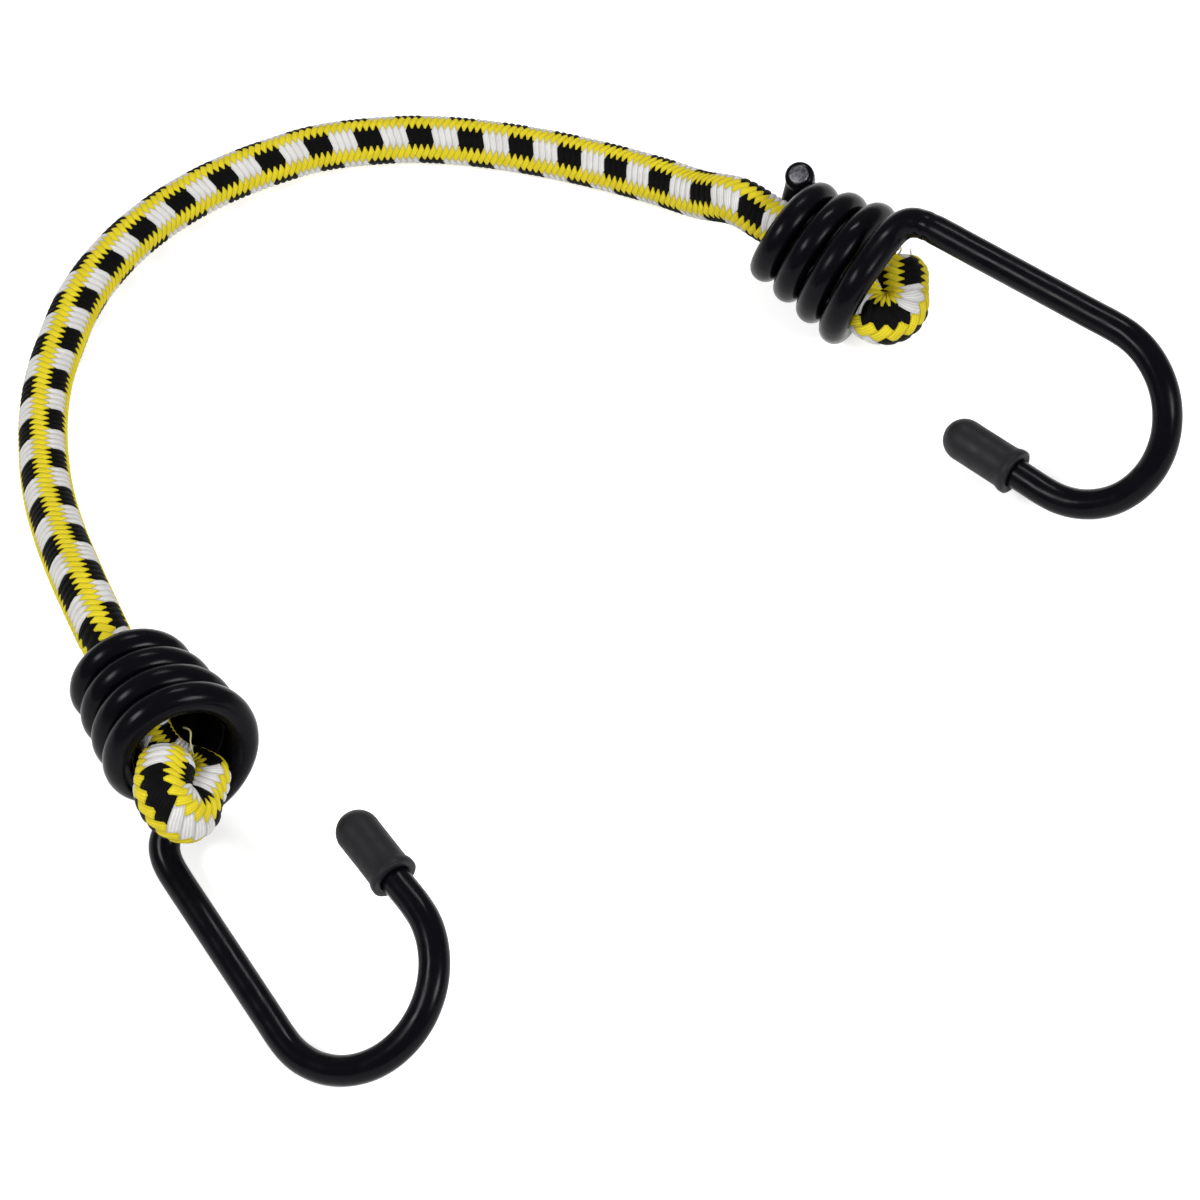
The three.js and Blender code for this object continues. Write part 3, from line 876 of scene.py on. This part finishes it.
class BungeeSettings(bpy.types.PropertyGroup):
    """Sizes and colours that a user would change."""

    cord_diameter: FloatProperty(
        name="Cord diameter", description="Outer diameter of the braided cord",
        default=0.0082, min=0.004, max=0.02, precision=4, unit="LENGTH",
    )
    check_length: FloatProperty(
        name="Check length", description="Length of one black and one white check together",
        default=0.0088, min=0.004, max=0.03, precision=4, unit="LENGTH",
    )
    yarn_rise: FloatProperty(
        name="Yarn rise", description="How far a yarn stands above the gaps beside it",
        default=0.00022, min=0.0, max=0.001, precision=5, unit="LENGTH",
    )
    thread_diameter: FloatProperty(
        name="Thread diameter", description="Diameter of the loose yarns at the cut tails",
        default=0.00035, min=0.0001, max=0.001, precision=5, unit="LENGTH",
    )
    coat_diameter: FloatProperty(
        name="Coated wire diameter", description="Outer diameter of the hook's coat",
        default=0.005, min=0.002, max=0.01, precision=4, unit="LENGTH",
    )
    steel_diameter: FloatProperty(
        name="Steel diameter", description="Diameter of the bare steel wire",
        default=0.0034, min=0.001, max=0.008, precision=4, unit="LENGTH",
    )
    cap_length: FloatProperty(
        name="Cap length", description="Length of the soft cap on the tip",
        default=0.0141, min=0.006, max=0.03, precision=4, unit="LENGTH",
    )
    wire_sides: IntProperty(
        name="Wire sides", description="Faces round the coated wire", default=22, min=8, max=48,
    )
    yellow: FloatVectorProperty(
        name="Yellow yarn", description="Colour of the yarns that run one way",
        subtype="COLOR", size=3, default=(0.84, 0.69, 0.026), min=0.0, max=1.0,
    )
    black: FloatVectorProperty(
        name="Black yarn", description="Colour of the dark checks",
        subtype="COLOR", size=3, default=(0.002, 0.002, 0.002), min=0.0, max=1.0,
    )
    white: FloatVectorProperty(
        name="White yarn", description="Colour of the pale checks",
        subtype="COLOR", size=3, default=(0.80, 0.785, 0.765), min=0.0, max=1.0,
    )
    latex: FloatVectorProperty(
        name="Latex", description="Colour of the rubber core",
        subtype="COLOR", size=3, default=(0.52, 0.38, 0.22), min=0.0, max=1.0,
    )
    coat: FloatVectorProperty(
        name="Hook coat", description="Colour of the dipped plastic on the wire",
        subtype="COLOR", size=3, default=(0.0025, 0.0025, 0.004), min=0.0, max=1.0,
    )
    cap: FloatVectorProperty(
        name="Tip cap", description="Colour of the soft cap",
        subtype="COLOR", size=3, default=(0.012, 0.012, 0.014), min=0.0, max=1.0,
    )
    steel: FloatVectorProperty(
        name="Steel", description="Colour of the bare steel",
        subtype="COLOR", size=3, default=(0.17, 0.17, 0.19), min=0.0, max=1.0,
    )


class BUNGEE_OT_camera(bpy.types.Operator):
    """Put the camera where the bungee is seen from in front and well above"""

    bl_idname = "bungee.camera"
    bl_label = "Camera"

    def execute(self, context):
        data = bpy.data.cameras.new("view")
        data.sensor_width = SENSOR_WIDTH
        data.lens = LENS
        data.clip_end = VIEW_END
        camera = bpy.data.objects.new("view", data)
        elevation = math.radians(VIEW_ELEVATION)
        towards = np.array([0.0, -math.cos(elevation), math.sin(elevation)])
        camera.location = np.array(ROUTE_SHIFT) * MM + VIEW_DISTANCE * towards
        camera.rotation_euler = (math.pi / 2 - elevation, 0.0, 0.0)
        context.collection.objects.link(camera)
        context.scene.camera = camera
        return {"FINISHED"}


class BUNGEE_OT_cord(bpy.types.Operator):
    """Lay the elastic cord from one hook to the other"""

    bl_idname = "bungee.cord"
    bl_label = "Elastic cord"

    def execute(self, context):
        settings = context.scene.bungee
        radius = settings.cord_diameter / 2 / MM
        line = resample(cord_line(), CORD_STEP)
        runs = run_lengths(line)
        stretch = np.interp(runs, *zip(*BRAID_STRETCH))
        radii = radius * np.interp(runs, *zip(*CORD_GIRTH))
        turn = np.interp(runs, *zip(*BRAID_TURN))
        sleeve = braided("cord_braid", line, radii, settings, stretch, turn, BRAID_FIRST_ROW)
        path = resample(line, CORE_STEP) * MM
        vertices, faces = swept(path, (radius - CORD_COVER) * MM, CORE_SIDES, CORE_STRANDS, CORD_GROOVE)
        rubber = new_object("cord_rubber", vertices, faces, rubber_finish(settings.latex))
        start = to_part(HOOKS["left"], (CORD_ENTRY, 0, 0)) * MM
        end = to_part(HOOKS["right"], (CORD_ENTRY, 0, 0)) * MM
        for piece in (sleeve, rubber):
            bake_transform(piece)
        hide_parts("span_sheath", "right_neck_sheath")
        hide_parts("span_core", "right_neck_core")
        return {"FINISHED"}


class BUNGEE_OT_folds(bpy.types.Operator):
    """Fold each cord end back into its spiral, with the cut tail beside the mouth"""

    bl_idname = "bungee.folds"
    bl_label = "Folded ends"

    def execute(self, context):
        settings = context.scene.bungee
        cord_radius = settings.cord_diameter / 2 / MM
        for side, lay in HOOKS.items():
            line, radii = fold_line(lay, cord_radius)
            at = run_lengths(line)
            placed = to_part(lay, resample(line, FOLD_STEP))
            runs = run_lengths(placed)
            radii = np.interp(runs, at, radii)
            out_of_mouth = np.interp(runs, at, line[:, 0])
            stretch = 1.0 + FOLD_STRETCH * smoothstep(out_of_mouth, FOLD_STRETCH_FROM, FOLD_STRETCH_TO)
            turn = np.full(len(runs), lay["braid_turn"])
            sleeve = braided(f"{side}_fold_braid", placed, radii, settings, stretch, turn, lay["braid_row"])
            tail = placed[-1] - placed[-2]
            tail /= np.linalg.norm(tail)
            core = np.vstack([placed[::FOLD_CORE_EVERY], placed[-1] + tail * CORE_OUT])
            core_radii = np.append(radii[::FOLD_CORE_EVERY], radii[-1]) - FOLD_COVER
            vertices, faces = swept(core * MM, core_radii * MM, CORE_SIDES, CORE_STRANDS, FOLD_GROOVE)
            rubber = new_object(f"{side}_fold_rubber", vertices, faces, rubber_finish(settings.latex))
            for piece, node, slot in ((sleeve, "sheath", "braid"), (rubber, "core", "rubber_core")):
                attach(piece, f"{side}_hook")
                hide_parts(f"{side}_end_{node}")
            for count, points in enumerate(lay["threads"]):
                strand = to_part(lay, resample(spline(points), THREAD_STEP))
                taper = np.linspace(1.0, THREAD_TIP, len(strand)) * settings.thread_diameter / 2
                vertices, faces = swept(strand * MM, taper, THREAD_SIDES)
                finish = thread_finish(settings.yellow)
                thread = new_object(f"{side}_thread_{count}", vertices, faces, finish)
                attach(thread, f"{side}_hook")
        return {"FINISHED"}


class BUNGEE_OT_hooks(bpy.types.Operator):
    """Bend the coated wire hooks with their spirals"""

    bl_idname = "bungee.hooks"
    bl_label = "Wire hooks"

    def execute(self, context):
        settings = context.scene.bungee
        coat = plastic_finish(
            "dipped coat", settings.coat, scuffed=(0.02, 0.02, 0.023), roughness=0.21, shine=0.07,
            marks={"wave_scale": 260.0, "scuff_scale": 1100.0, "scuff_amount": 0.3},
            bump={"strength": 0.22, "distance": 0.0004},
        )
        steel = steel_finish(settings.steel)
        radius = settings.coat_diameter / 2 / MM
        bare = settings.steel_diameter / 2 / MM
        for side, lay in HOOKS.items():
            placed = to_part(lay, resample(wire_line(lay), WIRE_STEP))
            radii = np.full(len(placed), radius)
            radii[0], radii[1] = bare + COAT_LIP, radius - COAT_EASE
            runs = run_lengths(placed)
            for at, depth in lay["nicks"]:
                radii -= depth * np.exp(-((runs - at) / NICK_WIDTH) ** 2)
            vertices, faces = swept(placed * MM, radii * MM, settings.wire_sides)
            sleeve = new_object(f"{side}_hook_coat", lift_to_floor(vertices), faces, coat)
            start = placed[0] - placed[1]
            start /= np.linalg.norm(start)
            stub = np.array([placed[0] + start * reach for reach, _ in STEEL_END])
            sizes = np.array([share for _, share in STEEL_END]) * bare
            vertices, faces = swept(stub * MM, sizes * MM, settings.wire_sides)
            wire = new_object(f"{side}_hook_steel", vertices, faces, steel)
            for piece, node, slot in ((sleeve, "coating", "coating"), (wire, "wire", "steel")):
                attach(piece, f"{side}_hook")
                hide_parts(f"{side}_hook_{node}")
        return {"FINISHED"}


class BUNGEE_OT_caps(bpy.types.Operator):
    """Push the soft caps over the hook tips"""

    bl_idname = "bungee.caps"
    bl_label = "Tip caps"

    def execute(self, context):
        settings = context.scene.bungee
        finish = plastic_finish(
            "soft cap", settings.cap, scuffed=(0.03, 0.03, 0.033), roughness=0.5, shine=0.15,
            marks={"wave_scale": 500.0, "scuff_scale": 1600.0, "scuff_amount": 0.35},
            bump={"strength": 0.25, "distance": 0.0003},
        )
        line = wire_line(HOOKS["left"])
        tip = line[-1]
        way = line[-1] - line[-2]
        way /= np.linalg.norm(way)
        wire = settings.coat_diameter / 2 / MM
        bore, outer = wire + CAP_PLAY, wire + CAP_WALL
        top = CAP_ROOM + outer
        mouth = top - settings.cap_length / MM
        profile = [(bore + out, mouth + along) for out, along in CAP_BORE]
        profile += [(outer + out, mouth + along) for out, along in CAP_RIM]
        profile += [(outer - CAP_DRAFT, mouth + (top - outer - mouth) * share) for share in CAP_BODY]
        for turn in np.linspace(0, math.pi / 2, CAP_DOME_STEPS + 1)[:-1]:
            profile.append((outer * math.cos(turn), top - outer + outer * math.sin(turn)))
        side_way = np.cross(way, CAP_ASIDE)
        side_way /= np.linalg.norm(side_way)
        other_way = np.cross(way, side_way)
        angle = np.linspace(0, 2 * math.pi, CAP_SIDES, endpoint=False)[:, None]
        ring = np.cos(angle) * side_way + np.sin(angle) * other_way
        rings = np.array([tip + way * along + size * ring for size, along in profile])
        local = np.vstack([rings.reshape(-1, 3), tip + way * top])
        faces = band_faces(len(rings), CAP_SIDES)
        last, pole = (len(rings) - 1) * CAP_SIDES, len(local) - 1
        faces += [(last + k, last + (k + 1) % CAP_SIDES, pole) for k in range(CAP_SIDES)]
        for side, lay in HOOKS.items():
            cap = new_object(f"{side}_cap", lift_to_floor(to_part(lay, local) * MM), faces, finish)
            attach(cap, f"{side}_hook")
            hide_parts(f"{side}_tip_cap")
        return {"FINISHED"}


class BUNGEE_OT_stage(bpy.types.Operator):
    """Set the pale floor and the soft lamps"""

    bl_idname = "bungee.stage"
    bl_label = "Stage"

    def execute(self, context):
        reach = FLOOR_REACH
        corners = [(-reach, -reach, 0), (reach, -reach, 0), (reach, reach, 0), (-reach, reach, 0)]
        floor = new_object("floor", corners, [(0, 1, 2, 3)], floor_finish(), smooth=False)
        floor.location.z = -FLOOR_DROP

        world = bpy.data.worlds.new("studio")
        world.use_nodes = True
        back = world.node_tree.nodes["Background"]
        back.inputs["Color"].default_value = (*WHITE, 1.0)
        back.inputs["Strength"].default_value = WORLD_LIGHT
        context.scene.world = world
        for name, spot, width, height, power in LAMPS:
            light = bpy.data.lights.new(name, "AREA")
            light.shape = "RECTANGLE"
            light.size = width
            light.size_y = height
            light.energy = power
            lamp = bpy.data.objects.new(name, light)
            lamp.location = spot
            away = np.array(spot) / np.linalg.norm(spot)
            lamp.rotation_euler = (math.acos(away[2]), 0.0, math.atan2(away[0], -away[1]))
            context.collection.objects.link(lamp)
        context.scene.view_settings.view_transform = "Standard"
        return {"FINISHED"}


class BUNGEE_PT_panel(bpy.types.Panel):
    """Sizes, colours and steps of the bungee"""

    bl_label = "Bungee cord"
    bl_idname = "BUNGEE_PT_panel"
    bl_space_type = "VIEW_3D"
    bl_region_type = "UI"
    bl_category = "Bungee"

    def draw(self, context):
        layout = self.layout
        for key in BungeeSettings.__annotations__:
            layout.prop(context.scene.bungee, key)
        for step in STEPS_IN_ORDER:
            layout.operator(step.bl_idname)


STEPS_IN_ORDER = (
    BUNGEE_OT_camera, BUNGEE_OT_cord, BUNGEE_OT_folds, BUNGEE_OT_hooks, BUNGEE_OT_caps, BUNGEE_OT_stage,
)
CLASSES = (BungeeSettings, *STEPS_IN_ORDER, BUNGEE_PT_panel)


def register():
    for item in CLASSES:
        bpy.utils.register_class(item)
    bpy.types.Scene.bungee = PointerProperty(type=BungeeSettings)


def unregister():
    del bpy.types.Scene.bungee
    for item in reversed(CLASSES):
        bpy.utils.unregister_class(item)


def main():
    """Build the bungee step by step."""
    register()
    bpy.ops.bungee.camera()
    bpy.ops.bungee.cord()
    bpy.ops.bungee.folds()
    bpy.ops.bungee.hooks()
    bpy.ops.bungee.caps()
    bpy.ops.bungee.stage()


if __name__ == "__main__":
    main()
